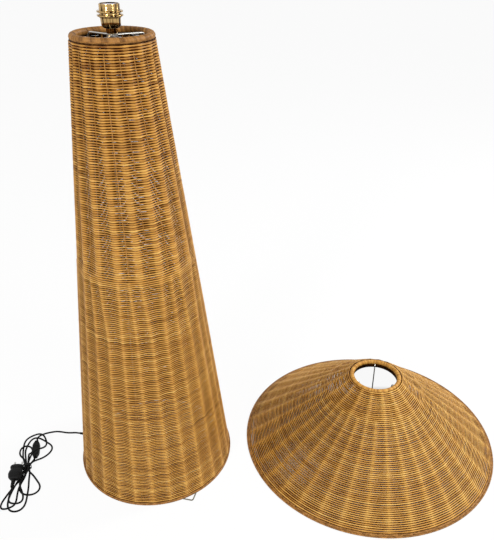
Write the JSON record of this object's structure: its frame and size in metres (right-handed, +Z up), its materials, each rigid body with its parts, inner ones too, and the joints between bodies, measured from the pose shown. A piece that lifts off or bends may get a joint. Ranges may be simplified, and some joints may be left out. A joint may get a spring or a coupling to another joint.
{
  "type": "floor lamp",
  "caption": "Woven rattan floor lamp: a tall tapered column with a screw bulb holder on wire arms, a wide woven cone shade standing beside it, and a switched cord in a tied hank.",
  "frame": {"origin": "on the floor, at the middle of the box round the column and the shade, without the free cord and what is on it", "axes": "+Z up, +X from the column towards the shade, +Y away from the side that faces the viewer"},
  "size_m": [1.3527, 0.712, 1.1478],
  "materials": {
    "rattan_weave": "clear-lacquered rattan weave",
    "rattan_rim": "clear-lacquered rattan wrapping",
    "frame_steel": "plain drawn wire",
    "galvanised_wire": "galvanised",
    "polished_brass": "polished",
    "porcelain": "glazed porcelain",
    "nickel_plate": "nickel plated",
    "black_cord": "smooth vinyl sheath",
    "black_plastic": "moulded, satin"
  },
  "bodies": {
    "column": {"column_weave": "rattan_weave", "column_top_rim": "rattan_rim", "column_base_rim": "rattan_rim", "frame_middle_hoop": "frame_steel", "frame_lower_hoop": "frame_steel", "frame_base_hoop": "frame_steel", "frame_leg_1": "frame_steel", "frame_leg_2": "frame_steel", "frame_leg_3": "frame_steel", "spider_hub": "frame_steel", "hub_nut": "frame_steel", "holder_lock_nut": "frame_steel", "wire_toe": "galvanised_wire", "holder_boss": "polished_brass", "threaded_nipple": "polished_brass", "holder_cap": "polished_brass", "holder_shell": "polished_brass", "holder_insert": "porcelain", "screw_liner": "nickel_plate", "plug_pin_left": "nickel_plate", "plug_pin_right": "nickel_plate", "inner_cord": "black_cord", "lead_cord": "black_cord", "hank_cord": "black_cord", "cord_clip_1": "black_plastic", "cord_clip_2": "black_plastic", "cord_sleeve": "black_plastic", "switch_base": "black_plastic", "switch_cover": "black_plastic", "hank_tie": "black_plastic", "plug_body": "black_plastic", "plug_boot": "black_plastic"},
    "shade": {"shade_weave": "rattan_weave", "shade_top_rim": "rattan_rim", "shade_base_rim": "rattan_rim", "fitter_ring": "frame_steel", "fitter_spoke_1": "frame_steel", "fitter_spoke_2": "frame_steel", "fitter_spoke_3": "frame_steel"},
    "upper_ring": {"upper_shade_ring": "polished_brass"},
    "lower_ring": {"lower_shade_ring": "polished_brass"},
    "contact": {"centre_contact": "polished_brass"},
    "rocker": {"switch_rocker": "black_plastic"}
  },
  "joints": [
    {"name": "shade_lift", "type": "slide", "parent": "column", "child": "shade", "axis": [0, 0, 1], "range_m": [0, 0.3]},
    {"name": "upper_ring_unscrew", "type": "slide", "parent": "column", "child": "upper_ring", "axis": [0, 0, 1], "range_m": [0, 0.0155]},
    {"name": "lower_ring_unscrew", "type": "slide", "parent": "column", "child": "lower_ring", "axis": [0, 0, 1], "range_m": [0, 0.003]},
    {"name": "contact_press", "type": "slide", "parent": "column", "child": "contact", "axis": [0, 0, -1], "range_m": [0, 0.0012], "stiffness_N_per_m": 2000},
    {"name": "rocker_tilt", "type": "hinge", "parent": "column", "child": "rocker", "pos_m": [-0.72069, -0.08005, 0.00985], "axis": [-0.9744, -0.225, 0], "range_deg": [0, 14]}
  ]
}
